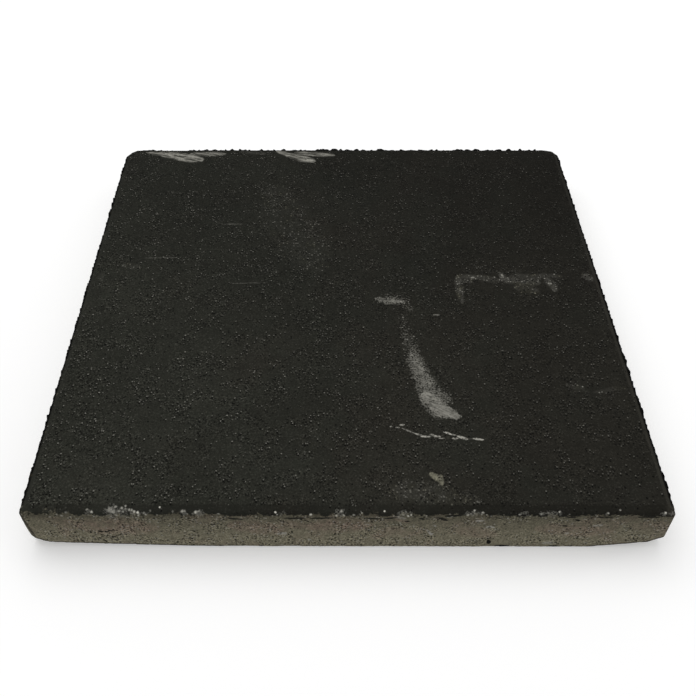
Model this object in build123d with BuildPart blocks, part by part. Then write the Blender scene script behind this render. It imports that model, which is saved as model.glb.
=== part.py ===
"""A pressed concrete paving slab, square, with a bevelled rim round its walking face.

The slab is pressed in one go and is one solid. It lies flat: +Z is up, towards the
walking face, X runs along the front edge and Y from the front edge to the back one.
The origin is the centre of the underside. All sizes are in millimetres.
"""

from build123d import *
import os

# The slab as it leaves the mould
slab_width = 500.0
slab_depth = 500.0
slab_thickness = 50.0
bevel_run = 7.0
bevel_drop = 3.5
upright_arris_radius = 3.0

# Corners knocked off in handling: how far each break reaches along the width,
# along the depth, and up or down the upright arris
back_left_break = (21.0, 16.0, 34.0)
front_left_break = (30.0, 10.0, 16.0)
front_right_break = (25.0, 9.0, 16.0)

# The front left arris, chipped nearly up to the bevel, measured the same way
front_left_chip = (6.0, 5.0, 44.0)

# Long shallow breaks where the lower front arris has worn away, measured the same way
front_left_wear = (140.0, 9.0, 6.5)
front_right_wear = (60.0, 12.0, 9.0)


def broken_corner(side_x, side_y, level, upwards, reach):
    """The plane of a broken corner, through one point on each arris that meets there.

    side_x and side_y are -1 or 1 and pick the corner, level is its height, and upwards
    is 1 where the break climbs from the underside and -1 where it comes down from the
    walking face. The plane looks out of the slab.
    """
    corner = Vector(side_x * slab_width / 2, side_y * slab_depth / 2, level)
    along_width = corner - Vector(side_x * reach[0], 0, 0)
    along_depth = corner - Vector(0, side_y * reach[1], 0)
    along_height = corner + Vector(0, 0, upwards * reach[2])
    outward = (along_depth - along_width).cross(along_height - along_width)
    if outward.dot(corner - along_width) < 0:
        outward = -outward
    return Plane(origin=along_width, x_dir=along_depth - along_width, z_dir=outward)


with BuildPart() as slab:
    # The blank, with the bevel that the mould's lid presses round the walking face
    with BuildSketch():
        Rectangle(slab_width, slab_depth)
    extrude(amount=slab_thickness)
    walking_face = slab.faces().sort_by(Axis.Z)[-1]
    chamfer(walking_face.edges(), length=bevel_run, length2=bevel_drop, reference=walking_face)

    # The mould box rounds the four upright arrises
    with BuildSketch():
        RectangleRounded(slab_width, slab_depth, upright_arris_radius)
    extrude(amount=slab_thickness, mode=Mode.INTERSECT)

    # The broken back corner, from the walking face down
    split(
        bisect_by=broken_corner(-1, 1, slab_thickness, -1, back_left_break),
        keep=Keep.BOTTOM,
    )

    # The worn lower front arris and its broken ends, from the underside up
    for side_x, reaches in (
        (-1, (front_left_wear, front_left_chip, front_left_break)),
        (1, (front_right_wear, front_right_break)),
    ):
        for reach in reaches:
            split(bisect_by=broken_corner(side_x, -1, 0, 1, reach), keep=Keep.BOTTOM)

slab.part.label = "slab"

os.makedirs("parts", exist_ok=True)
export_step(slab.part, "parts/slab.step")
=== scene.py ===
import math
from collections import namedtuple

import bmesh
import bpy
from mathutils import Matrix, Vector, noise


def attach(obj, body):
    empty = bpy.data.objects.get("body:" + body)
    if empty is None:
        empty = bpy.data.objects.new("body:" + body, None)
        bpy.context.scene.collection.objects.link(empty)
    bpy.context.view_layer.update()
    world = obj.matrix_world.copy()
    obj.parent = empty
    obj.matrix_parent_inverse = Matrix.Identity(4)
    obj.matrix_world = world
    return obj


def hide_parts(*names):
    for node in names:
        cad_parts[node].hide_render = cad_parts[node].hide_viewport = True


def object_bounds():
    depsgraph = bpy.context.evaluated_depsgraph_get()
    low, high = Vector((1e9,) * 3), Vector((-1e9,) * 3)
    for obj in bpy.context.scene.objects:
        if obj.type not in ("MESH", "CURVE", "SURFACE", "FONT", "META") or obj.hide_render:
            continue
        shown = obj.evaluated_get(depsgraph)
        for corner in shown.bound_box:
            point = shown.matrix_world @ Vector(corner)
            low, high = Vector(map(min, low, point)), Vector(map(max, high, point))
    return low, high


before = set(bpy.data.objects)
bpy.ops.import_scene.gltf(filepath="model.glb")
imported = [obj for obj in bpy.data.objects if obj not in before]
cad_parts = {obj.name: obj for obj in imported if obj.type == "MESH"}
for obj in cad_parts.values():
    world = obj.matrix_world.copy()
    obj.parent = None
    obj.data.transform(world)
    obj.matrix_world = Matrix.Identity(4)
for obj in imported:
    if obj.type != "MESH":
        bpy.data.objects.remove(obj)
cad_low, cad_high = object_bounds()

bl_info = {
    "name": "Pressed Paving Slab",
    "version": (1, 0, 0),
    "blender": (4, 5, 0),
    "location": "View3D > Sidebar > Paving",
    "description": "A pressed concrete slab with a bevelled rim, scuffed and chipped in handling",
    "category": "Object",
}

# The slab is shaped in millimetres, and scaled to metres once it is finished
mm_per_metre = 1000.0
width = (cad_high.x - cad_low.x) * mm_per_metre
depth = (cad_high.y - cad_low.y) * mm_per_metre
thickness = (cad_high.z - cad_low.z) * mm_per_metre
front = -depth / 2
back = depth / 2
left = -width / 2
right = width / 2

# A corner knocked off in handling: which sides and level it is at, how far the break
# reaches along the width, along the depth, and up or down the upright arris
Break = namedtuple("Break", "side_x side_y level upwards reach")

# A flake off an arris: where it is, how far it reaches along the width, the depth and the
# height, how deep it is, and how much pale sand it leaves bare
Flake = namedtuple("Flake", "centre reach depth sand")

# A mark: the line that it follows, half its width, and how strong it is
Mark = namedtuple("Mark", "start end half_width strength")

# The corners knocked off the slab, and the lengths of its lower front arris worn away
breaks = [
    Break(-1, 1, thickness, -1, (21.0, 16.0, 34.0)),
    Break(-1, -1, 0.0, 1, (140.0, 9.0, 6.5)),
    Break(-1, -1, 0.0, 1, (6.0, 5.0, 44.0)),
    Break(-1, -1, 0.0, 1, (24.0, 10.0, 14.5)),
    Break(1, -1, 0.0, 1, (60.0, 12.0, 9.0)),
    Break(1, -1, 0.0, 1, (23.0, 9.0, 15.0)),
]


# Sizes and colours that a user would change

class SlabSizes(bpy.types.PropertyGroup):
    bevel_run: bpy.props.FloatProperty(
        name="Bevel Run",
        description="How far the bevelled rim reaches in over the walking face",
        default=0.007, min=0.0, max=0.03, unit="LENGTH",
    )
    bevel_drop: bpy.props.FloatProperty(
        name="Bevel Drop",
        description="How far the bevelled rim falls at the arris",
        default=0.0035, min=0.0, max=0.02, unit="LENGTH",
    )
    cell: bpy.props.FloatProperty(
        name="Cell",
        description="Size of the mesh's widest cells; the arrises have cells a quarter as wide",
        default=0.0053, min=0.004, max=0.02, unit="LENGTH",
    )
    side_relief: bpy.props.FloatProperty(
        name="Side Relief",
        description="Depth of the coarse grain on the sides and underside",
        default=0.00055, min=0.0, max=0.003, unit="LENGTH",
    )
    face_relief: bpy.props.FloatProperty(
        name="Face Relief",
        description="Depth of the fine grain on the walking face",
        default=0.00018, min=0.0, max=0.001, unit="LENGTH",
    )
    burr_height: bpy.props.FloatProperty(
        name="Burr Height",
        description="Height of the ragged burr that the press leaves round the upper arris",
        default=0.0024, min=0.0, max=0.003, unit="LENGTH",
    )
    seed: bpy.props.IntProperty(
        name="Seed",
        description="Which of many like slabs is pressed",
        default=7, min=0,
    )


class ConcreteColours(bpy.types.PropertyGroup):
    face_mix: bpy.props.FloatVectorProperty(
        name="Face Mix",
        description="Colour of the dark mix on the walking face",
        default=(0.0186, 0.0190, 0.0149), min=0.0, max=1.0, subtype="COLOR", size=3,
    )
    brown_face_mix: bpy.props.FloatVectorProperty(
        name="Brown Face Mix",
        description="Colour of the browner clouds in the dark mix",
        default=(0.0183, 0.0171, 0.0134), min=0.0, max=1.0, subtype="COLOR", size=3,
    )
    backing_mix: bpy.props.FloatVectorProperty(
        name="Backing Mix",
        description="Colour of the brown-grey mix below the face",
        default=(0.155, 0.143, 0.102), min=0.0, max=1.0, subtype="COLOR", size=3,
    )
    backing_blush: bpy.props.FloatVectorProperty(
        name="Backing Blush",
        description="Colour of the pinkish clouds in the brown-grey mix",
        default=(0.185, 0.146, 0.112), min=0.0, max=1.0, subtype="COLOR", size=3,
    )
    sand: bpy.props.FloatVectorProperty(
        name="Sand",
        description="Colour of the pale sand grains and of rubbed concrete",
        default=(0.34, 0.33, 0.29), min=0.0, max=1.0, subtype="COLOR", size=3,
    )
    mortar: bpy.props.FloatVectorProperty(
        name="Mortar",
        description="Colour of the dried yellowish dust",
        default=(0.22, 0.21, 0.155), min=0.0, max=1.0, subtype="COLOR", size=3,
    )


class StudioSettings(bpy.types.PropertyGroup):
    floor_width: bpy.props.FloatProperty(
        name="Floor Width",
        description="Width of the pale floor",
        default=24.0, min=1.0, unit="LENGTH",
    )
    floor_colour: bpy.props.FloatVectorProperty(
        name="Floor Colour",
        description="Colour of the pale floor",
        default=(0.80, 0.80, 0.80), min=0.0, max=1.0, subtype="COLOR", size=3,
    )
    lamp_power: bpy.props.FloatProperty(
        name="Lamp Power",
        description="Power of the large lamp over the slab, in watts",
        default=26.0, min=0.0,
    )
    lens: bpy.props.FloatProperty(
        name="Lens",
        description="Focal length of the camera on a 36 mm sensor",
        default=44.17, min=10.0, max=200.0, unit="CAMERA",
    )
    sideways_shift: bpy.props.FloatProperty(
        name="Sideways Shift",
        description="How far the picture is moved sideways, as a share of its width",
        default=0.0259, min=-0.2, max=0.2,
    )


# Shape of the slab

# Places closer than this, in millimetres, touch
touching = 0.01

# How the mould and the wear shape the slab, in millimetres
upright_radius = 3.0
worn_corner_radius = 16.0
worn_corner_zone = 22.0
lower_radius = 1.2
break_softness = 1.2
# How far the painted shade along the upper arris reaches
dark_arris_reach = 5.0
burr_reach = 2.6
flaked_band = 12.0


def lines_along(blank, axis):
    """The edges that run straight along one axis."""
    chosen = []
    for edge in blank.edges:
        run = edge.verts[1].co - edge.verts[0].co
        if abs(run[axis]) > 0.95 * run.length:
            chosen.append(edge)
    return chosen


def lines_down_the_bevel(blank):
    """The edges that run down the slope of the bevel."""
    chosen = []
    for edge in blank.edges:
        run = edge.verts[1].co - edge.verts[0].co
        if 0.2 * run.length < abs(run.z) < 0.95 * run.length:
            chosen.append(edge)
    return chosen


def divide(blank, edges, cell):
    """Cuts edges into lengths of about one cell, and the faces between them with them."""
    longest = max(edge.calc_length() for edge in edges)
    cuts = max(round(longest / cell) - 1, 1)
    bmesh.ops.subdivide_edges(blank, edges=edges, cuts=cuts, use_grid_fill=True)


def halve(blank, wanted):
    """Halves each edge whose two ends both lie where wanted says."""
    edges = [e for e in blank.edges if wanted(e.verts[0].co) and wanted(e.verts[1].co)]
    bmesh.ops.subdivide_edges(blank, edges=edges, cuts=1, use_grid_fill=True)


def inset_of(place):
    """How far a place lies inside the slab's outline."""
    return min(width / 2 - abs(place.x), depth / 2 - abs(place.y))


def divided_blank(bevel_run, bevel_drop, cell):
    """The slab as it leaves the mould, cut into cells that are small at the arrises."""
    arris_level = thickness - bevel_drop
    blank = bmesh.new()
    bmesh.ops.create_cube(blank, size=1.0)
    bmesh.ops.translate(blank, vec=(0, 0, 0.5), verts=blank.verts)
    bmesh.ops.scale(blank, vec=(width, depth, arris_level), verts=blank.verts)
    walking_face = max(blank.faces, key=lambda face: face.calc_center_median().z)
    bmesh.ops.inset_region(
        blank, faces=[walking_face], thickness=bevel_run, depth=bevel_drop,
        use_boundary=True, use_even_offset=True,
    )
    for axis in range(3):
        divide(blank, lines_along(blank, axis), cell)
    divide(blank, lines_down_the_bevel(blank), cell)

    # All but the underside, which keeps the wide cells
    halve(blank, lambda place: place.z > touching or inset_of(place) < touching)

    upper_band = bevel_run + 3.0
    side_band = 7.0

    def near_an_arris(place):
        if place.z > arris_level - side_band:
            return inset_of(place) < upper_band
        return place.z < side_band and inset_of(place) < cell * 1.1

    halve(blank, near_an_arris)
    return blank


def eased(across, along):
    """Bends the outer corner of a unit square into a quarter circle."""
    return (
        across * math.sqrt(1 - along * along / 2),
        along * math.sqrt(1 - across * across / 2),
    )


def round_plan_corner(place, radius):
    """Rounds the upright arris nearest to a place."""
    across = 1 - (width / 2 - abs(place.x)) / radius
    along = 1 - (depth / 2 - abs(place.y)) / radius
    if across > 0 and along > 0:
        across, along = eased(across, along)
        place.x = math.copysign(width / 2 - radius * (1 - across), place.x)
        place.y = math.copysign(depth / 2 - radius * (1 - along), place.y)


def round_lower_arris(place, radius):
    """Rounds the arris between the underside and the sides."""
    for axis, half in ((0, width / 2), (1, depth / 2)):
        across = 1 - (half - abs(place[axis])) / radius
        down = 1 - place.z / radius
        if across > 0 and down > 0:
            across, down = eased(across, down)
            place[axis] = math.copysign(half - radius * (1 - across), place[axis])
            place.z = radius * (1 - down)


def break_plane(corner):
    """A point on the face of a broken corner, and the way that the face looks."""
    apex = Vector((corner.side_x * width / 2, corner.side_y * depth / 2, corner.level))
    inward = Vector((-corner.side_x, -corner.side_y, corner.upwards))
    along_width = apex + Vector((inward.x * corner.reach[0], 0, 0))
    along_depth = apex + Vector((0, inward.y * corner.reach[1], 0))
    up_arris = apex + Vector((0, 0, inward.z * corner.reach[2]))
    looks = (along_depth - along_width).cross(up_arris - along_width).normalized()
    if looks.dot(apex - along_width) < 0:
        looks.negate()
    return along_width, looks


def past(distance, softness):
    """How much of a distance lies past zero, with a soft bend at zero."""
    if distance < -softness:
        return 0.0
    if distance > softness:
        return distance
    return (distance + softness) ** 2 / (4 * softness)


def rough(place, size, seed):
    """Uneven relief from 0 to about 1, with lumps of one size and others half as large."""
    at = place / size + Vector((seed * 3.7, seed * 1.3, seed * 5.1))
    return 0.5 + 0.36 * noise.noise(at) + 0.2 * noise.noise(at * 2.03)


def wear_round(place, start, seed):
    """Rounds the upright arrises, most of all the back right one, and the arris underneath."""
    back_right = start.x > 0 and start.y > 0
    worn = worn_corner_radius * start.z / thickness if back_right else 0.0
    round_plan_corner(place, upright_radius + worn)
    uneven = max(rough(start, 19.0, seed + 1) - 0.3, 0.0)
    round_lower_arris(place, lower_radius + 2.4 * uneven)


def knock_off_corners(place, start, faces_of_breaks, seed):
    """Cuts a place back to the faces of the broken corners, and says how whole it still is."""
    from_back_right = max(width / 2 - place.x, depth / 2 - place.y)
    whole = 0.3 if from_back_right < worn_corner_zone else 1.0
    for point, looks in faces_of_breaks:
        depth_off = past((place - point).dot(looks), break_softness)
        if depth_off > 0:
            lumpy = 0.8 * rough(start, 7.0, seed + 7) + 0.7 * rough(start, 3.0, seed + 2)
            place -= looks * (depth_off + lumpy * min(depth_off, 1.0))
            whole = min(whole, max(1.0 - depth_off / 1.5, 0.0))
    return whole


def cut_grain(place, start, looks_out, sizes):
    """Sinks a place by its grain, which only ever cuts into the moulded surface."""
    walking_face = start.z > thickness - touching
    relief = (sizes.face_relief if walking_face else sizes.side_relief) * mm_per_metre
    if start.z < touching < inset_of(start):
        relief *= 0.8
    lumps = rough(start, 3.2, sizes.seed + 3)
    pits = max(rough(start, 1.9, sizes.seed + 4) - 0.66, 0.0) * 3.0
    place -= looks_out * relief * (0.9 * lumps + (0.0 if walking_face else pits))


def raise_burr(place, start, from_arris, whole, sizes):
    """Moves a place by the ragged burr on the upper arris, which is low along the front."""
    if from_arris >= burr_reach:
        return
    crest = whole * (1 - from_arris / burr_reach) ** 1.2
    tall = min(max(rough(start, 4.6, sizes.seed + 5) - 0.46, 0.0) * 4.5, 1.0)
    if start.y < front + 3.0:
        tall *= 0.3
    low = max(0.46 - rough(start, 7.0, sizes.seed + 6), 0.0) * 4.0
    place.z += crest * (sizes.burr_height * mm_per_metre * tall - 1.2 * low)
    inwards = crest * (0.25 + 0.9 * rough(start, 2.7, sizes.seed + 8))
    if abs(start.x) > width / 2 - 1:
        place.x -= math.copysign(inwards, place.x)
    if abs(start.y) > depth / 2 - 1:
        place.y -= math.copysign(inwards, place.y)


def flake_off(place, start, looks_out, flakes, seed):
    """Sinks a place by the flakes that it lies in, and says how much sand they leave bare."""
    bare = 0.0
    for flake in flakes:
        away = start - flake.centre
        reach = math.sqrt(sum((away[i] / flake.reach[i]) ** 2 for i in range(3)))
        if reach < 1:
            ragged = 0.6 + 0.8 * rough(start, 2.2, seed + 9)
            place -= looks_out * flake.depth * (1 - reach * reach) * ragged
            bare = max(bare, flake.sand * min((1 - reach) * 2.2, 1.0))
    return bare


def shape_slab(sizes):
    """One closed mesh of the slab.

    Each of its points keeps how near the upper arris it is, and how much sand it leaves bare.
    """
    bevel_run = sizes.bevel_run * mm_per_metre
    bevel_drop = sizes.bevel_drop * mm_per_metre
    arris_level = thickness - bevel_drop
    slab = divided_blank(bevel_run, bevel_drop, sizes.cell * mm_per_metre)
    sand_layer = slab.verts.layers.float.new("bare_sand")
    arris_layer = slab.verts.layers.float.new("arris")

    faces_of_breaks = [break_plane(corner) for corner in breaks]
    flakes = arris_flakes(arris_level)
    slab.normal_update()
    outward = [vertex.normal.copy() for vertex in slab.verts]

    for vertex, looks_out in zip(slab.verts, outward):
        start = vertex.co.copy()
        place = start.copy()
        wear_round(place, start, sizes.seed)
        whole = knock_off_corners(place, start, faces_of_breaks, sizes.seed)
        cut_grain(place, start, looks_out, sizes)
        from_arris = math.hypot(inset_of(start), start.z - arris_level)
        raise_burr(place, start, from_arris, whole, sizes)
        # How near the upper arris a point is, which the material darkens as painted shade
        vertex[arris_layer] = max(1 - from_arris / dark_arris_reach, 0.0)
        if abs(start.y) > depth / 2 - flaked_band:
            vertex[sand_layer] = flake_off(place, start, looks_out, flakes, sizes.seed)
        place.z = min(max(place.z, 0.0), thickness)
        vertex.co = place

    for face in slab.faces:
        face.smooth = True
    return slab


def arris_flakes(arris_level):
    """The flakes along the front upper arris, from left to right, and a worn length at the back.

    Each row has how far across it is, half its width and height, its depth and its bare sand.
    """
    at_arris = [
        (-196.0, 3.6, 4.0, 0.7, 0.75), (-179.5, 6.0, 9.0, 0.9, 0.95), (-170.5, 6.0, 8.0, 0.8, 0.8),
        (-162.5, 3.5, 3.5, 0.6, 1.0), (-154.0, 4.0, 2.4, 0.4, 0.8), (-123.5, 3.2, 3.4, 0.6, 0.75),
        (-112.0, 5.0, 4.6, 0.8, 0.85), (-49.5, 3.0, 2.8, 0.4, 0.6), (-5.4, 5.0, 6.0, 0.9, 0.9),
        (44.0, 7.0, 4.0, 1.0, 1.0), (96.7, 5.0, 5.0, 0.8, 0.75), (90.5, 3.5, 3.5, 0.6, 0.8),
        (135.0, 5.0, 3.0, 0.5, 0.8), (148.0, 3.4, 2.8, 0.5, 0.85), (155.0, 5.0, 4.5, 0.7, 0.85),
        (161.0, 3.0, 2.6, 0.4, 0.75), (197.7, 2.6, 2.6, 0.4, 0.7), (239.7, 2.8, 3.0, 0.5, 0.95),
        (246.0, 3.6, 4.5, 0.8, 0.75),
    ]
    flakes = []
    for across, half_width, half_height, deep, sand in at_arris:
        centre = Vector((across, front, arris_level))
        flakes.append(Flake(centre, (half_width, half_height, half_height), deep, sand))
    worn_length = Flake(Vector((-194.0, back, arris_level)), (30.0, 6.0, 6.0), 1.8, 0.0)
    return flakes + [worn_length]


# Finish of the concrete

pit_shadow = (0.003, 0.003, 0.0025)
flake_shadow = (0.004, 0.004, 0.0035)
pore_shadow = (0.008, 0.0075, 0.006)


class Recipe:
    """Writes a material's nodes. Each method returns the socket that gives its result."""

    def __init__(self, name):
        self.material = bpy.data.materials.new(name)
        self.material.use_nodes = True
        self.tree = self.material.node_tree
        self.tree.nodes.clear()

    def feed(self, socket, value):
        """Links a socket to another socket's result, or gives it a fixed value."""
        if isinstance(value, bpy.types.NodeSocket):
            self.tree.links.new(value, socket)
        elif isinstance(value, (int, float)):
            socket.default_value = value
        elif len(socket.default_value) == 4:
            socket.default_value = (*value, 1.0)
        else:
            socket.default_value = value

    def node(self, kind, inputs, output=0, **settings):
        """One node, with its inputs fed by name or number."""
        made = self.tree.nodes.new("ShaderNode" + kind)
        for setting, value in settings.items():
            setattr(made, setting, value)
        for name, value in inputs.items():
            self.feed(made.inputs[name], value)
        return made.outputs[output] if made.outputs else None

    def math(self, operation, first, second=0.0, third=0.0):
        """A sum on numbers."""
        return self.node("Math", {0: first, 1: second, 2: third}, operation=operation)

    def product(self, first, *others):
        """Numbers multiplied together."""
        for other in others:
            first = self.math("MULTIPLY", first, other)
        return first

    def vector(self, operation, first, second, output="Vector"):
        """A sum on places or colours."""
        inputs = {0: first, "Scale": second} if operation == "SCALE" else {0: first, 1: second}
        return self.node("VectorMath", inputs, output, operation=operation)

    def part(self, at, axis):
        """One of a place's three coordinates."""
        return self.node("SeparateXYZ", {0: at}, axis)

    def step(self, value, low, high, to_low=0.0, to_high=1.0):
        """Goes smoothly from one number to another as a value goes from low to high."""
        inputs = {"Value": value, "From Min": low, "From Max": high}
        inputs.update({"To Min": to_low, "To Max": to_high})
        return self.node("MapRange", inputs, interpolation_type="SMOOTHSTEP")

    def noise(self, at, size, detail=2.0, roughness=0.5, output="Fac"):
        """Cloudy noise about 0.5, with lumps of a size in millimetres."""
        inputs = {"Vector": at, "Scale": 1.0 / size, "Detail": detail, "Roughness": roughness}
        return self.node("TexNoise", inputs, output)

    def specks(self, at, size, radius, share):
        """Round specks in a share of the cells of a size: their cover, and a number for each."""
        distance = self.node("TexVoronoi", {"Vector": at, "Scale": 1.0 / size}, "Distance")
        tint = self.node("SeparateColor", {0: distance.node.outputs["Color"]}, "Red")
        chosen = self.math("LESS_THAN", tint, share)
        cover = self.step(distance, 1.3 * radius / size, 0.6 * radius / size)
        return self.math("MULTIPLY", cover, chosen), tint.node.outputs["Green"]

    def blend(self, share, first, second):
        """The first colour, covered by a share of the second."""
        first_colour, second_colour, mixed_colour = 6, 7, 2
        inputs = {"Factor": share, first_colour: first, second_colour: second}
        return self.node("Mix", inputs, mixed_colour, data_type="RGBA", clamp_factor=True)

    def scale_colour(self, colour, amount):
        """A colour made darker or lighter."""
        return self.vector("SCALE", colour, amount)

    def strokes(self, at, degrees, along, size):
        """Noise drawn out along one direction over the face."""
        turning = (0.0, 0.0, math.radians(-degrees))
        turned = self.node("Mapping", {"Vector": at, "Rotation": turning})
        drawn_out = self.vector("MULTIPLY", turned, (1.0 / along, 1.0, 1.0))
        return self.noise(drawn_out, size, 2.0, 0.6)

    def wander(self, at, size, reach):
        """Coordinates moved about in waves of a size, so that what follows them runs unevenly."""
        waves = self.noise(at, size, 2.0, 0.6, output="Color")
        moves = self.vector("SUBTRACT", waves, (0.5, 0.5, 0.5))
        return self.vector("ADD", at, self.vector("SCALE", moves, 2.0 * reach))

    def mark(self, at, mark):
        """How strongly one mark covers each place. A mark is a long oval, or a round spot."""
        start, end = Vector(mark.start), Vector(mark.end)
        run = end - start
        if run.length < touching:
            away = self.vector("DISTANCE", at, start, "Value")
            return self.step(away, mark.half_width, mark.half_width * 0.2, 0.0, mark.strength)
        # The distances to an oval's two foci add up to its length all round its edge
        half_length = run.length / 2 + mark.half_width
        to_focus = run.normalized() * math.sqrt(half_length ** 2 - mark.half_width ** 2)
        middle = (start + end) / 2
        from_one = self.vector("DISTANCE", at, middle - to_focus, "Value")
        from_other = self.vector("DISTANCE", at, middle + to_focus, "Value")
        edge = 2 * half_length * 0.78 + 2 * to_focus.length * 0.22
        away = self.math("ADD", from_one, from_other)
        return self.step(away, edge, 2 * to_focus.length, 0.0, mark.strength)

    def marks(self, at, marks):
        """The strongest of several marks at each place."""
        strongest = 0.0
        for mark in marks:
            strongest = self.math("MAXIMUM", self.mark(at, mark), strongest)
        return strongest

    def dusted(self, at, cover, haze):
        """Dust on separate grains, more of them where its cover is thick, and a haze between."""
        beside = self.vector("ADD", at, (13.0, 5.0, 3.0))
        grains, number = self.specks(beside, 2.1, 0.85, cover)
        bright = self.product(grains, self.step(number, 0.0, 1.0, 0.2, 1.0))
        return self.math("MAXIMUM", bright, self.product(cover, haze))

    def worn(self, cover, pattern, fading=1.0, softness=0.12):
        """A cover that breaks up into a pattern, and fades, where it is thin."""
        edge = self.math("MULTIPLY_ADD", cover, -0.36, 0.62)
        broken = self.step(self.math("SUBTRACT", pattern, edge), 0.0, softness)
        return self.product(broken, self.math("POWER", cover, fading))


# Marks, each a row with its two ends, half its width and its strength

def marks_on_face(rows):
    """Marks on the walking face. Their ends are how far across and along the slab."""
    return [
        Mark((across, along, thickness), (end_across, end_along, thickness), half_width, strength)
        for across, along, end_across, end_along, half_width, strength in rows
    ]


def marks_on_front(rows):
    """Marks on the front side. Their ends are how far across it and up it."""
    return [
        Mark((across, front, up), (end_across, front, end_up), half_width, strength)
        for across, up, end_across, end_up, half_width, strength in rows
    ]


# The long patch where something rubbed off on the face
rubbed_marks = marks_on_face([
    (53, -34, 58, -72, 8.0, 0.16),
    (56, -62, 63, -94, 11.0, 0.30),
    (62, -92, 66.5, -114, 14.0, 0.58),
    (66, -108, 72, -130, 14.0, 0.60),
    (70, -128, 80, -134, 15.0, 0.50),
    (73, -138, 77, -146, 17.0, 0.80),
    (80, -148, 88, -154, 10.0, 0.96),
    (36, -12.5, 52, -15, 8.75, 0.52),
    (45, -14.4, 52, -15.1, 5.0, 0.85),
    (35, -12, 37, -12.4, 5.0, 0.55),
    (44, -8, 56, -12, 10.0, 0.22),
    (56, -16, 60, -24, 8.0, 0.24),
])

# Broken white scratches, three bright grains of mortar, and three long faint scratches
scratches = marks_on_face([
    (37.0, -167.3, 37.8, -167.3, 1.3, 0.60),
    (41.5, -168.4, 43.1, -168.4, 1.4, 0.62),
    (45.3, -165.6, 47.0, -165.4, 1.6, 0.95),
    (46.4, -169.3, 56.2, -174.3, 1.2, 0.50),
    (56.2, -174.6, 61.0, -176.2, 1.3, 0.80),
    (61.7, -177.7, 67.9, -177.7, 1.55, 1.15),
    (68.5, -175.7, 71.0, -175.7, 1.3, 0.70),
    (70.9, -177.0, 75.8, -177.6, 1.5, 0.95),
    (76.2, -179.3, 79.0, -179.3, 1.3, 0.55),
    (80.0, -173.0, 85.2, -175.1, 1.35, 1.15),
    (85.2, -175.1, 91.0, -177.2, 1.2, 0.60),
    (86.9, -179.6, 90.1, -179.6, 1.45, 0.85),
    (91.6, -177.7, 97.1, -179.9, 2.05, 1.00),
    (98.0, -180.0, 103.5, -180.0, 1.2, 0.30),
    (104.1, -179.9, 110.5, -180.9, 1.65, 1.25),
    (83.4, -33.7, 87.8, -33.7, 1.4, 0.45),
    (198.8, 10.7, 199.4, 10.4, 2.2, 0.75),
    (125.4, 19.7, 126.0, 19.7, 2.1, 0.60),
    (154.4, 23.2, 154.9, 22.6, 2.0, 0.60),
    (-198, 48.7, -164, 49.6, 1.3, 0.20),
    (-128, 104.2, -106, 104.2, 1.3, 0.18),
    (-110, 10.6, -76, 11.5, 1.3, 0.17),
])

back_scuffs = marks_on_face([
    (-221, 238, -204, 235, 5.75, 0.52),
    (-205, 236, -186, 231, 11.0, 0.72),
    (-190, 231, -168, 226, 12.0, 0.90),
    (-170, 236, -140, 236, 7.5, 0.56),
    (-112, 240, -86, 237, 6.5, 0.26),
    (-71, 240, -55, 232, 7.5, 0.52),
    (-58, 232, -38, 224, 10.0, 0.72),
    (-50, 238, -14, 234, 7.0, 0.62),
])

mortar_marks = marks_on_face([
    (110.9, 18, 111.3, -13, 6.5, 0.66),
    (117, 20.5, 129, 19.8, 6.5, 0.56),
    (117, 14, 121, 14, 4.5, 0.46),
    (133, 20, 147, 16, 7.5, 0.40),
    (153.9, 24, 157.5, 16.5, 4.7, 0.86),
    (157, 16, 170, 12.5, 7.25, 0.74),
    (170, 12, 185, 12, 8.0, 0.72),
    (166, 21, 186, 19, 7.0, 0.40),
    (170, 4, 181, 1, 8.25, 0.52),
    (190, 22.5, 208, 21, 6.0, 0.42),
    (199, 14, 202, 4, 6.75, 0.70),
    (236, 22, 239, 18, 7.0, 0.80),
    (193, -122, 201, -124, 4.5, 0.28),
    (214, -130, 237, -124, 4.0, 0.28),
])

dusty_patches = marks_on_face([
    (42, -231, 74, -234, 15.0, 0.66),
    (74, -236, 94, -239, 10.0, 0.50),
    (-214, 38, -206, 35, 7.0, 0.5),
    (-237, 18, -237, 21, 5.5, 0.45),
    (-68, 141, -38, 60, 42.0, 0.26),
])

clay_spots = marks_on_face([
    (67.5, -216, 71.0, -219.5, 4.3, 1.0),
    (73.5, -218, 73.5, -223.5, 3.3, 0.7),
])

pale_stones = marks_on_front([
    (-52.7, 19.1, -48.5, 19.8, 2.7, 0.85),
    (-29.2, 10.5, -29.2, 10.5, 2.2, 0.95),
    (37.5, 41.9, 43.5, 40.6, 2.6, 0.45),
    (63.4, 22.9, 64.6, 21.2, 1.9, 0.80),
    (64.6, 20.6, 66.4, 18.9, 1.9, 1.30),
    (67.4, 31.0, 68.4, 30.4, 1.8, 0.65),
    (99.4, 37.5, 104.1, 37.5, 2.0, 0.85),
    (108.4, 28.9, 109.6, 29.6, 2.2, 0.95),
    (110.6, 29.4, 113.1, 28.6, 2.0, 0.95),
    (156.6, 6.4, 161.5, 6.8, 3.2, 0.75),
    (171.0, 20.2, 171.6, 20.2, 2.2, 0.70),
    (190.6, 31, 195.1, 31.6, 2.4, 0.60),
])

open_pores = marks_on_front([
    (-191, 20, -176, 17, 8.0, 1.0),
    (-187, 15, -181, 5, 9.0, 1.0),
    (-216, 20, -214, 16, 7.0, 0.6),
    (-160, 14, -155, 9, 7.0, 0.7),
    (-78, 31, -60, 27, 9.0, 0.5),
    (24, 28, 31, 16, 7.0, 0.5),
])
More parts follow.
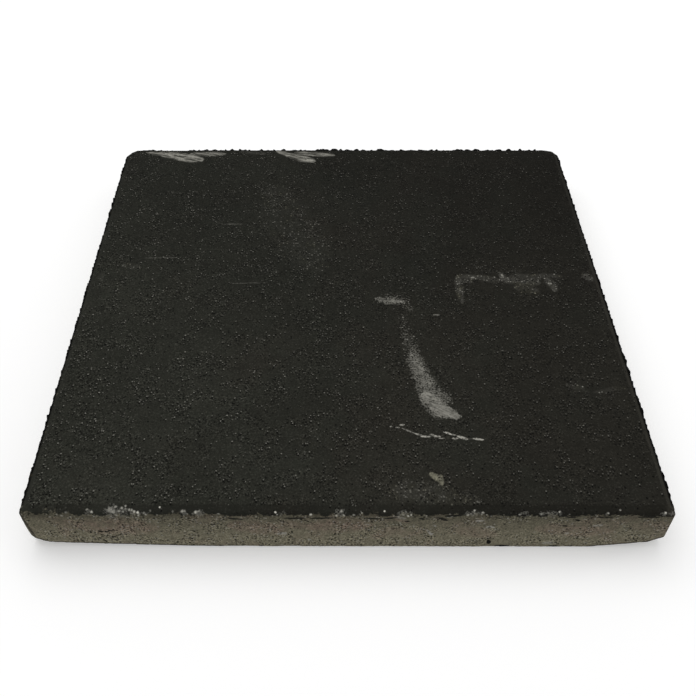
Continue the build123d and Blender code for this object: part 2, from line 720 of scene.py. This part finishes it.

# Painted shade in single holes and gaps deep enough to be black, and spots of painted shadow along the
# bottom edge
gap_and_edge_shadows = marks_on_front([
    (112.0, 8.8, 112.4, 6.8, 2.65, 1.0),
    (-192.3, 22.4, -190.5, 22.1, 1.4, 0.9),
    (-187.9, 21.4, -185.7, 21.5, 1.4, 1.0),
    (-185.1, 23.1, -182.7, 23.4, 1.2, 0.8),
    (-191.6, 17.5, -190.4, 17.3, 1.3, 0.8),
    (-183.5, 14.4, -181.3, 14.7, 1.3, 0.9),
    (-191.0, 9.6, -189.4, 7.8, 1.3, 0.9),
    (-181.8, 9.6, -180.6, 9.4, 1.2, 0.8),
    (-194.2, 13.1, -193.2, 13.1, 1.2, 0.8),
    (45, 37, 47, 37, 1.4, 0.8),
    (175.4, 38.8, 177, 38.2, 1.9, 0.9),
    (166.8, 31, 169, 30.6, 1.6, 0.7),
    # Spots of painted shadow along the bottom edge
    (-212.5, 2.2, -211.5, 2.2, 2.0, 0.8),
    (-205, 1.6, -203.5, 1.6, 2.0, 0.9),
    (-193.6, 1.4, -190, 1.4, 2.2, 1.0),
    (-185.5, 1.2, -180, 1.2, 2.2, 1.0),
    (-69.5, 0.8, -67, 0.8, 2.0, 0.9),
    (-42.5, 0.8, -41, 0.8, 1.8, 0.9),
    (-22.5, 0.8, -17.5, 0.8, 2.0, 1.0),
    (119.5, 2.0, 127, 2.0, 2.5, 1.0),
    (137.5, 0.8, 139.5, 0.8, 1.8, 0.9),
    (160.5, 1.4, 167, 1.4, 2.2, 1.0),
    (175.5, 1.2, 177, 1.2, 1.8, 0.9),
])

blushes = marks_on_front([
    (-196, 30, -160, 28, 18.0, 0.8),
    (-81, 30, -57, 26, 14.0, 0.8),
    (-46, 33, -37, 31, 9.0, 0.6),
    (-20, 30, 8, 32, 15.0, 0.9),
    (26, 18, 33, 24, 10.0, 0.5),
    (37, 42, 44, 37, 4.5, 1.0),
    (92, 24, 108, 20, 12.0, 0.6),
    (157, 27, 196, 24, 14.0, 0.7),
])

# Where the dark mix was pressed down over the arris, and left a thin dark edge
dark_skirts = marks_on_front([
    (-91.1, 40.8, -80.9, 39.2, 1.7, 1.0),
    (-47.2, 40.6, -32.4, 41.0, 1.8, 1.0),
    (-27.4, 40.7, -11.4, 41.2, 1.75, 0.9),
    (13.3, 41.2, 23.6, 40.0, 1.7, 1.0),
    (29.4, 40.2, 37.5, 41.8, 1.75, 1.0),
    (56.0, 40.6, 58.0, 40.2, 1.9, 0.9),
    (71.0, 41.2, 75.0, 38.8, 2.6, 1.0),
    (76.0, 43.8, 83.0, 44.4, 2.5, 0.8),
    (168.7, 42.2, 172.5, 42.2, 1.8, 0.8),
    (190.6, 42.8, 201.3, 42.6, 1.6, 0.8),
    (222.4, 43.1, 237.7, 42.7, 1.7, 0.9),
])


def bare_grains():
    """Single pale grains left bare along the front arris, on the bevel and on the side.

    Each row has how far across it is, its radius, its strength and how far up it is.
    """
    on_bevel = [
        (-197.5, 1.6, 0.5, 48.0), (-194.0, 1.9, 1.15, 47.0), (-213.4, 1.9, 0.3, 47.0),
        (-180.0, 3.6, 0.45, 47.9), (-177.6, 3.4, 0.45, 47.2), (-176.0, 1.8, 0.6, 49.0),
        (-173.3, 1.9, 0.5, 47.4), (-171.4, 1.9, 0.65, 48.5), (-170.0, 2.0, 0.6, 47.3),
        (-168.4, 1.3, 0.65, 49.3), (-168.3, 1.3, 0.6, 48.3), (-165.6, 1.6, 0.65, 47.9),
        (-163.6, 1.6, 0.55, 47.9), (-161.5, 2.0, 0.7, 47.2), (-158.8, 2.0, 1.0, 46.9),
        (-154.4, 1.6, 0.6, 46.7), (-149.4, 1.3, 0.45, 47.7), (-142.1, 1.3, 0.95, 48.8),
        (-132.3, 1.6, 0.35, 47.4), (-125.0, 2.0, 0.5, 47.5), (-123.4, 1.7, 0.5, 47.6),
        (-114.6, 2.5, 0.75, 47.0), (-112.4, 1.9, 0.7, 47.4), (-54.3, 1.4, 0.9, 47.1),
        (-4.5, 1.8, 1.0, 47.5), (11.3, 1.2, 0.6, 47.0), (28.4, 1.3, 0.9, 47.6),
        (44.6, 1.8, 0.85, 47.1), (96.9, 1.6, 0.8, 47.9), (97.0, 1.6, 0.8, 47.0),
        (102.8, 1.5, 0.6, 47.1), (152.8, 1.7, 0.85, 46.9), (161.2, 1.5, 0.8, 47.3),
        (197.9, 1.4, 0.9, 47.0), (207.0, 1.3, 0.5, 48.1), (241.1, 1.6, 1.0, 47.1),
        (246.6, 1.8, 0.5, 46.9),
    ]
    on_side = [
        (-217.0, 1.9, 0.4, 43.8), (-158.2, 1.5, 0.65, 44.9), (-152.8, 1.4, 0.55, 45.1),
        (-144.4, 1.3, 0.4, 44.9), (-117.1, 1.6, 0.4, 46.2), (-108.8, 1.4, 0.35, 46.0),
        (-97.4, 1.5, 0.6, 46.0), (-80.6, 1.7, 0.3, 41.5), (-53.1, 1.5, 0.55, 45.3),
        (-27.6, 1.7, 0.9, 45.4), (-8.0, 1.7, 0.9, 43.8), (-6.4, 1.9, 0.9, 45.6),
        (-3.6, 1.7, 0.9, 46.0), (-2.6, 1.7, 0.85, 44.0), (5.1, 1.8, 0.6, 45.3),
        (42.6, 1.8, 0.7, 45.2), (46.8, 1.7, 0.85, 46.0), (46.4, 1.6, 0.9, 43.8),
        (48.6, 1.5, 0.9, 45.0), (39.0, 1.8, 0.35, 43.4), (78.0, 1.4, 0.4, 46.0),
        (79.5, 1.4, 0.35, 43.2), (91.8, 1.7, 0.75, 44.8), (93.6, 1.8, 0.8, 46.1),
        (101.9, 1.5, 0.55, 45.9), (130.9, 1.6, 0.7, 45.7), (136.2, 1.2, 0.4, 44.7),
        (138.8, 1.2, 0.4, 43.9), (147.3, 1.9, 1.0, 46.2), (154.2, 1.6, 0.8, 46.2),
        (158.9, 1.7, 0.9, 46.2), (168.6, 1.3, 0.4, 46.0), (245.4, 1.8, 0.45, 46.0),
    ]
    arris_level = 46.5
    bevel_slope = 2.0
    grains = []
    for across, radius, strength, up in on_bevel + on_side:
        inwards = bevel_slope * max(up - arris_level, 0.0)
        place = (across, front + inwards, up)
        grains.append(Mark(place, place, radius, strength))
    return grains


def face_mix(recipe, at, colours):
    """The colour of the dark mix before its grain: browner in clouds, with painted light that makes it
    lighter towards the front left and darker towards the back right, and a painted sheen and painted
    shade on the bevels.
    """
    across = recipe.part(at, "X")
    along = recipe.part(at, "Y")
    # Painted light on the bevels: a painted sheen makes the side bevels paler, most of all on the
    # right, and painted shade darkens the front and back bevels, most of all at the back
    on_side_bevels = recipe.step(recipe.math("ABSOLUTE", across), right - 9.0, right - 6.0)
    side_bevel_sheen = recipe.step(across, left, right, 1.03, 1.60)
    end_bevel_shade = recipe.step(along, front, back, 0.84, 0.50)
    bevel_sheen_and_shade = recipe.node("Mix", {"Factor": on_side_bevels, "A": end_bevel_shade, "B": side_bevel_sheen})
    on_bevel = recipe.step(recipe.part(at, "Z"), thickness, thickness - 1.0)
    shade = recipe.product(
        recipe.step(recipe.noise(at, 80.0, 3.0, 0.55), 0.3, 0.7, 0.90, 1.10),
        recipe.step(recipe.noise(at, 12.0, 3.0, 0.6), 0.3, 0.7, 0.92, 1.08),
        # Painted light: lighter towards the front left, darker towards the back right
        recipe.step(across, left * 1.2, right * 1.2, 1.24, 0.83),
        recipe.step(along, front * 1.2, back * 1.2, 1.10, 0.66),
        recipe.math("MULTIPLY_ADD", on_bevel, recipe.math("SUBTRACT", bevel_sheen_and_shade, 1.0), 1.0),
    )
    browner = recipe.math("MULTIPLY_ADD", across, 0.0011, recipe.noise(at, 60.0, 3.0, 0.6))
    mix = recipe.blend(
        recipe.step(browner, 0.3, 0.8), tuple(colours.face_mix), tuple(colours.brown_face_mix),
    )
    return recipe.scale_colour(mix, shade)


def marked_face(recipe, at, face, colours):
    """Dust, mortar, scuffs and scratches on the walking face, and how far they cover it."""
    uneven = recipe.wander(recipe.wander(at, 14.0, 3.0), 3.0, 0.8)
    clumps = recipe.noise(at, 5.0, 2.0, 0.6)
    on_top = recipe.step(recipe.part(at, "Z"), thickness - 0.9, thickness - 0.2)
    sand = tuple(colours.sand)
    mortar = tuple(colours.mortar)
    yellower = recipe.step(recipe.noise(at, 13.0, 2.0, 0.5), 0.46, 0.62)

    dust = recipe.dusted(at, recipe.product(recipe.marks(uneven, dusty_patches), on_top), 0.16)
    face = recipe.blend(recipe.product(dust, 0.34), face, recipe.blend(yellower, sand, mortar))
    dried = recipe.dusted(at, recipe.marks(uneven, mortar_marks), 0.2)
    face = recipe.blend(recipe.product(dried, 0.62), face, recipe.blend(yellower, sand, mortar))
    clay = recipe.marks(recipe.wander(at, 3.0, 1.0), clay_spots)
    clay = recipe.product(clay, recipe.step(recipe.noise(at, 2.0), 0.3, 0.6, 0.5, 1.0))
    face = recipe.blend(recipe.product(clay, 0.88), face, mortar)

    strokes = recipe.strokes(at, -28.0, 5.0, 1.8)
    cover = recipe.marks(uneven, rubbed_marks)
    speckle = recipe.step(recipe.noise(at, 1.5, 2.0, 0.7), 0.3, 0.7, -0.5, 0.5)
    rubbed = recipe.product(
        recipe.step(recipe.math("MULTIPLY_ADD", speckle, 0.7, cover), 0.2, 0.75),
        recipe.step(cover, 0.0, 0.95, 0.24, 0.72),
        recipe.step(strokes, 0.3, 0.7, 0.5, 1.0),
        recipe.step(clumps, 0.3, 0.7, 0.75, 1.15),
    )
    grains = recipe.product(recipe.dusted(at, cover, 0.0), 0.5)
    rubbed = recipe.math("MAXIMUM", rubbed, grains)
    face = recipe.blend(rubbed, face, sand)

    drawn = recipe.strokes(at, -16.0, 9.0, 2.0)
    cover = recipe.product(recipe.marks(recipe.wander(at, 6.0, 1.6), back_scuffs), on_top)
    scuffed = recipe.product(
        recipe.step(cover, 0.05, 0.6),
        recipe.math("POWER", cover, 0.9),
        recipe.step(drawn, 0.38, 0.62, 0.15, 1.15),
        recipe.step(clumps, 0.3, 0.7, 0.75, 1.15),
    )
    face = recipe.blend(scuffed, face, sand)

    patches = recipe.step(recipe.noise(at, 2.6, 1.0, 0.5), 0.34, 0.56, 0.25, 1.0)
    scratched = recipe.marks(recipe.wander(at, 3.0, 0.7), scratches)
    face = recipe.blend(recipe.product(scratched, patches), face, sand)
    return face, recipe.math("MAXIMUM", rubbed, scuffed)


def grained_face(recipe, at, face, covered, colours):
    """Pale grains with painted shadows in front of them and dark pits of painted shade, in clusters
    with calmer patches between.
    """
    across = recipe.part(at, "X")
    on_top = recipe.step(recipe.part(at, "Z"), thickness - 0.9, thickness - 0.2, 0.25, 1.0)
    contrast = recipe.product(recipe.step(across, left, right, 1.25, 0.7), on_top)
    gathered = recipe.step(recipe.noise(at, 15.0, 2.0, 0.55), 0.4, 0.6)
    fine = recipe.step(recipe.noise(at, 1.5, 2.0, 0.75), 0.25, 0.75, -0.66, 0.66)
    fine = recipe.product(
        fine,
        contrast,
        recipe.step(gathered, 0.0, 1.0, 0.4, 1.0),
        recipe.step(covered, 0.0, 0.3, 1.0, 0.4),
    )
    face = recipe.scale_colour(face, recipe.math("ADD", fine, 1.0))

    share = recipe.product(recipe.step(gathered, 0.0, 1.0, 0.12, 0.8), on_top)
    deep = recipe.step(covered, 0.0, 0.3, 1.0, 0.4)
    moved = recipe.wander(at, 2.4, 0.8)
    # Dark pits of painted shade
    beside = recipe.vector("ADD", moved, (31.0, 17.0, 5.0))
    pits, number = recipe.specks(beside, 2.5, 0.85, recipe.product(share, 0.8))
    pits = recipe.product(pits, deep, recipe.step(number, 0.0, 1.0, 0.4, 1.0))
    face = recipe.blend(pits, face, pit_shadow)
    # Painted shadows: a dark speck just in front of each pale grain, as if cast by it
    in_front = recipe.vector("ADD", moved, (0.2, 1.6, 0.0))
    pits, number = recipe.specks(in_front, 2.1, 0.8, share)
    pits = recipe.product(pits, deep, recipe.step(number, 0.2, 0.9, 0.1, 1.0))
    face = recipe.blend(pits, face, pit_shadow)

    grains, number = recipe.specks(moved, 2.1, 0.60, share)
    bright = recipe.math("MULTIPLY_ADD", recipe.math("POWER", number, 4.0), 0.44, 0.05)
    bright = recipe.product(grains, bright, recipe.step(across, left, right, 1.25, 0.7))
    return recipe.blend(bright, face, tuple(colours.sand))


def backing_mix(recipe, at, colours):
    """The brown-grey mix: lighter towards the bottom, pinkish in clouds, with open pores, painted shade
    in its pores and holes, and a painted shadow along the bottom edge.
    """
    height = recipe.part(at, "Z")
    cloud = recipe.noise(at, 26.0, 3.0, 0.6)
    blush = recipe.math("MAXIMUM", recipe.step(cloud, 0.5, 0.7, 0.0, 0.6), recipe.marks(at, blushes))
    blush = recipe.product(blush, recipe.step(recipe.noise(at, 6.0, 3.0, 0.6), 0.35, 0.6, 0.4, 1.0))
    mix = recipe.blend(blush, tuple(colours.backing_mix), tuple(colours.backing_blush))
    opened = recipe.marks(recipe.wander(at, 5.0, 1.5), open_pores)
    gathered = recipe.step(recipe.noise(at, 12.0, 2.0, 0.55), 0.4, 0.6)
    gathered = recipe.math("MAXIMUM", gathered, opened)
    grit = recipe.step(recipe.noise(at, 1.6, 2.0, 0.75), 0.25, 0.75, -1.0, 1.0)
    grit = recipe.product(grit, recipe.step(gathered, 0.0, 1.0, 0.35, 1.0))
    # Painted shadow: a dark line along the bottom edge, where the slab meets the floor
    contact_shadow = recipe.step(recipe.noise(at, 4.0, 2.0, 0.6), 0.35, 0.6, 0.6, 0.22)
    shade = recipe.product(
        recipe.step(height, thickness, 0.0, 0.74, 1.42),
        recipe.step(height, 37.0, 46.0, 1.0, 0.78),
        recipe.step(recipe.part(at, "X"), 150.0, right, 0.98, 0.92),
        recipe.step(recipe.noise(at, 5.0, 3.0, 0.65), 0.3, 0.7, 0.80, 1.20),
        recipe.math("ADD", grit, 1.0),
        recipe.step(height, 0.4, 1.9, contact_shadow, 1.0),
    )
    mix = recipe.scale_colour(mix, shade)

    stones, number = recipe.specks(at, 2.7, 0.85, recipe.step(gathered, 0.0, 1.0, 0.1, 0.75))
    stones = recipe.product(stones, recipe.step(number, 0.0, 1.0, 0.1, 0.85))
    placed = recipe.marks(recipe.wander(at, 3.0, 0.8), pale_stones)
    placed = recipe.product(placed, recipe.step(recipe.noise(at, 1.6), 0.35, 0.55, 0.45, 1.0))
    mix = recipe.blend(recipe.math("MAXIMUM", stones, placed), mix, tuple(colours.sand))

    # Painted shade in the open pores, holes and gaps, and painted shadow in the spots along the bottom
    # edge
    share = recipe.math("MULTIPLY_ADD", opened, 0.3, recipe.product(gathered, 0.6))
    share = recipe.math("ADD", share, 0.04)
    beside = recipe.vector("ADD", at, (7.0, 3.0, 11.0))
    pores, number = recipe.specks(beside, 2.6, 0.95, share)
    pores = recipe.product(pores, recipe.step(number, 0.0, 1.0, 0.6, 1.0))
    gaps = recipe.marks(recipe.wander(at, 2.5, 0.7), gap_and_edge_shadows)
    pores = recipe.math("MAXIMUM", pores, recipe.step(gaps, 0.1, 0.5))
    return recipe.blend(pores, mix, pore_shadow)


def above_the_backing(recipe, at):
    """Where the dark mix is: above a ragged line a little below the arris, and in skirts."""
    across = recipe.part(at, "X")
    middle = recipe.step(across, 80.0, 170.0, 44.9, 44.2)
    near_left = recipe.step(across, -170.0, -240.0, 0.0, 1.4)
    ragged = recipe.step(recipe.noise(at, 2.4, 2.0, 0.6), 0.3, 0.7, 1.0, -1.0)
    waves = recipe.step(recipe.noise(at, 9.0, 2.0, 0.5), 0.35, 0.65, 1.1, -1.3)
    line = recipe.math("ADD", recipe.math("ADD", middle, near_left), ragged)
    line = recipe.math("ADD", line, waves)
    above = recipe.step(recipe.math("SUBTRACT", recipe.part(at, "Z"), line), -0.7, 0.7)
    hanging = recipe.marks(recipe.wander(at, 3.0, 0.8), dark_skirts)
    skirt = recipe.step(recipe.math("ADD", hanging, recipe.noise(at, 1.8, 2.0, 0.6)), 0.8, 1.1)
    return recipe.math("MAXIMUM", above, skirt)


def edge_shade(recipe, at):
    """Painted shade: how much darker the upper arris is, in broken lengths, and a painted shadow along
    the edges of the breaks at the front.
    """
    # Painted shade along the upper arris, weaker along the front
    arris = recipe.node("Attribute", {}, "Fac", attribute_name="arris")
    lengths = recipe.step(recipe.noise(at, 9.0, 3.0, 0.6), 0.35, 0.6, 0.8, 1.0)
    off_front = recipe.step(recipe.part(at, "Y"), front + 8.0, front + 6.0, 1.0, 0.15)
    darker = recipe.product(recipe.step(arris, 0.1, 0.5), lengths, off_front)

    # Painted shadow along the edges of the breaks at the front
    near_front = recipe.step(recipe.part(at, "Y"), front + 2.2, front + 1.0)
    longest_corner = 40.0
    for corner in breaks:
        if corner.side_y > 0:
            continue
        point, looks = break_plane(corner)
        dark = 0.85 if corner.reach[0] > longest_corner else 0.7
        past_break = recipe.vector("SUBTRACT", at, point)
        past_break = recipe.vector("DOT_PRODUCT", past_break, looks, "Value")
        break_edge_shadow = recipe.step(past_break, -2.4, -1.5, 0.0, dark)
        darker = recipe.math("MAXIMUM", darker, recipe.product(break_edge_shadow, near_front, lengths))
    return recipe.step(darker, 0.0, 1.0, 1.0, 0.1)


def pressed_concrete(colours):
    """One material for the slab: dark face mix above, brown-grey backing mix below."""
    recipe = Recipe("pressed_concrete")
    at = recipe.vector("SCALE", recipe.node("TexCoord", {}, "Object"), mm_per_metre)
    face, covered = marked_face(recipe, at, face_mix(recipe, at, colours), colours)
    face = grained_face(recipe, at, face, covered, colours)
    backing = backing_mix(recipe, at, colours)
    in_face = above_the_backing(recipe, at)
    shade = edge_shade(recipe, at)

    # Sand left bare by flakes: dull where they broke off, with painted shade in the gaps between its
    # grains, and with single paler grains
    bare = recipe.node("Attribute", {}, "Fac", attribute_name="bare_sand")
    bare = recipe.worn(bare, recipe.noise(at, 2.6, 2.0, 0.65), 0.4, 0.1)
    gaps, _ = recipe.specks(recipe.vector("ADD", at, (3.0, 9.0, 6.0)), 2.2, 0.9, 0.6)
    gaps = recipe.product(bare, gaps, 0.9)
    gritty = recipe.step(recipe.noise(at, 1.3, 2.0, 0.7), 0.4, 0.6, 0.02, 0.36)
    gritty = recipe.product(bare, gritty)
    grains = recipe.marks(recipe.wander(at, 2.2, 0.8), bare_grains())
    uneven = recipe.step(recipe.noise(at, 1.4), 0.36, 0.52, 0.7, 1.2)
    grains = recipe.product(recipe.math("POWER", grains, 1.5), uneven)
    sand = tuple(colours.sand)
    pale_sand = recipe.scale_colour(sand, 2.1)

    # Relief finer than the mesh
    fine_relief = recipe.noise(at, 0.9, 2.0, 0.6)
    relief = recipe.math("MULTIPLY_ADD", recipe.noise(at, 2.3, 2.0, 0.6), 0.8, fine_relief)
    bump = recipe.node("Bump", {"Height": relief, "Strength": 0.5, "Distance": 0.0004})

    # Each mix is a shader of its own, so that a render works out only the one it meets
    shaders = []
    for colour in (backing, face):
        colour = recipe.scale_colour(colour, shade)
        colour = recipe.blend(gaps, colour, flake_shadow)
        colour = recipe.blend(gritty, colour, sand)
        colour = recipe.blend(grains, colour, pale_sand)
        surface = {"Base Color": colour, "Normal": bump, "Roughness": 0.9}
        surface["Specular IOR Level"] = 0.07
        shaders.append(recipe.node("BsdfPrincipled", surface))
    both = recipe.node("MixShader", {0: in_face, 1: shaders[0], 2: shaders[1]})
    recipe.node("OutputMaterial", {"Surface": both})
    return recipe.material


class PAVING_OT_press_slab(bpy.types.Operator):
    """Press the concrete slab, knock its corners and arrises, and finish it"""

    bl_idname = "paving.press_slab"
    bl_label = "Press Slab"

    def execute(self, context):
        shaped = shape_slab(context.scene.slab_sizes)
        bmesh.ops.scale(shaped, vec=(1 / mm_per_metre,) * 3, verts=shaped.verts)
        mesh = bpy.data.meshes.new("paving_slab")
        shaped.to_mesh(mesh)
        shaped.free()
        slab = bpy.data.objects.new("paving_slab", mesh)
        context.scene.collection.objects.link(slab)
        mesh.materials.append(pressed_concrete(context.scene.concrete_colours))
        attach(slab, "root")
        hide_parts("slab")
        return {"FINISHED"}


# Studio

surroundings_strength = 0.55
floor_glow = 0.3

# Where the camera stands, in metres, and how it is turned, in degrees
camera_place = (-0.0116, -0.6126, 0.5961)
camera_heading = 0.19
camera_looks_down = 45.56
camera_roll = -0.08


def pale_floor(settings):
    """A pale floor that keeps the slab's soft shadow and is white to the camera elsewhere."""
    recipe = Recipe("pale_floor")
    diffuse = recipe.node("BsdfDiffuse", {"Color": tuple(settings.floor_colour)})
    glow = recipe.node("Emission", {"Color": (1.0, 1.0, 1.0), "Strength": floor_glow})
    both = recipe.node("AddShader", {0: diffuse, 1: glow})
    path = recipe.node("LightPath", {}).node
    seen = recipe.math("MAXIMUM", path.outputs["Is Camera Ray"], path.outputs["Is Glossy Ray"])
    seen = recipe.math("MAXIMUM", seen, path.outputs["Is Transmission Ray"])
    shown = recipe.node("MixShader", {0: seen, 1: diffuse, 2: both})
    recipe.node("OutputMaterial", {"Surface": shown})
    return recipe.material


def add_floor(context, settings):
    """The floor that the slab lies on."""
    shaped = bmesh.new()
    bmesh.ops.create_grid(shaped, x_segments=1, y_segments=1, size=settings.floor_width / 2)
    mesh = bpy.data.meshes.new("studio_floor")
    shaped.to_mesh(mesh)
    shaped.free()
    floor = bpy.data.objects.new("studio_floor", mesh)
    context.scene.collection.objects.link(floor)
    mesh.materials.append(pale_floor(settings))


def add_lamp(context, name, place, target, size, power):
    """A soft lamp at a place, turned towards a target."""
    lamp = bpy.data.lights.new(name, "AREA")
    lamp.shape = "RECTANGLE"
    lamp.size, lamp.size_y = size
    lamp.energy = power
    holder = bpy.data.objects.new(name, lamp)
    holder.location = place
    looks = Vector(target) - Vector(place)
    holder.rotation_euler = looks.to_track_quat("-Z", "Y").to_euler()
    context.scene.collection.objects.link(holder)


def add_world(context):
    """Even pale surroundings, white to the camera."""
    world = bpy.data.worlds.new("studio")
    world.use_nodes = True
    tree = world.node_tree
    tree.nodes.clear()
    lights = tree.nodes.new("ShaderNodeBackground")
    lights.inputs["Strength"].default_value = surroundings_strength
    shown = tree.nodes.new("ShaderNodeBackground")
    path = tree.nodes.new("ShaderNodeLightPath")
    mix = tree.nodes.new("ShaderNodeMixShader")
    output = tree.nodes.new("ShaderNodeOutputWorld")
    tree.links.new(path.outputs["Is Camera Ray"], mix.inputs[0])
    tree.links.new(lights.outputs[0], mix.inputs[1])
    tree.links.new(shown.outputs[0], mix.inputs[2])
    tree.links.new(mix.outputs[0], output.inputs["Surface"])
    lights.inputs["Color"].default_value = (1.0, 1.0, 1.0, 1.0)
    shown.inputs["Color"].default_value = (1.0, 1.0, 1.0, 1.0)
    context.scene.world = world


def add_camera(context, settings):
    """A camera in front of the slab and above it, looking down at its middle."""
    data = bpy.data.cameras.new("studio_camera")
    data.sensor_width = 36.0
    data.lens = settings.lens
    data.shift_x = settings.sideways_shift
    camera = bpy.data.objects.new("studio_camera", data)
    stands = Matrix.Translation(camera_place)
    heads = Matrix.Rotation(math.radians(camera_heading), 4, "Z")
    tilts = Matrix.Rotation(math.radians(90 - camera_looks_down), 4, "X")
    rolls = Matrix.Rotation(math.radians(camera_roll), 4, "Z")
    camera.matrix_world = stands @ heads @ tilts @ rolls
    context.scene.collection.objects.link(camera)
    context.scene.camera = camera


class PAVING_OT_set_studio(bpy.types.Operator):
    """Lay the pale floor, hang the lamps and set up the camera"""

    bl_idname = "paving.set_studio"
    bl_label = "Set Studio"

    def execute(self, context):
        settings = context.scene.studio_settings
        add_floor(context, settings)
        add_world(context)
        middle = (0.0, 0.0, 0.0)
        add_lamp(context, "lamp_over", (-0.5, 0.6, 2.2), middle, (2.4, 2.4), settings.lamp_power)
        add_lamp(context, "lamp_right", (1.9, 0.1, 0.75), middle, (0.8, 0.8), 0.2 * settings.lamp_power)
        add_camera(context, settings)
        context.scene.view_settings.view_transform = "Standard"
        return {"FINISHED"}


class PAVING_PT_panel(bpy.types.Panel):
    """The slab's sizes, colours and steps"""

    bl_idname = "PAVING_PT_panel"
    bl_label = "Pressed Paving Slab"
    bl_space_type = "VIEW_3D"
    bl_region_type = "UI"
    bl_category = "Paving"

    def draw(self, context):
        scene = context.scene
        for heading, group in (
            ("Sizes", scene.slab_sizes),
            ("Colours", scene.concrete_colours),
            ("Studio", scene.studio_settings),
        ):
            box = self.layout.box()
            box.label(text=heading)
            for name in group.bl_rna.properties.keys():
                if name not in ("rna_type", "name"):
                    box.prop(group, name)
        self.layout.operator("paving.press_slab")
        self.layout.operator("paving.set_studio")


classes = (
    SlabSizes,
    ConcreteColours,
    StudioSettings,
    PAVING_OT_press_slab,
    PAVING_OT_set_studio,
    PAVING_PT_panel,
)


def register():
    for cls in classes:
        bpy.utils.register_class(cls)
    bpy.types.Scene.slab_sizes = bpy.props.PointerProperty(type=SlabSizes)
    bpy.types.Scene.concrete_colours = bpy.props.PointerProperty(type=ConcreteColours)
    bpy.types.Scene.studio_settings = bpy.props.PointerProperty(type=StudioSettings)


def unregister():
    del bpy.types.Scene.slab_sizes
    del bpy.types.Scene.concrete_colours
    del bpy.types.Scene.studio_settings
    for cls in reversed(classes):
        bpy.utils.unregister_class(cls)


def main():
    register()
    bpy.ops.paving.press_slab()
    bpy.ops.paving.set_studio()


if __name__ == "__main__":
    main()
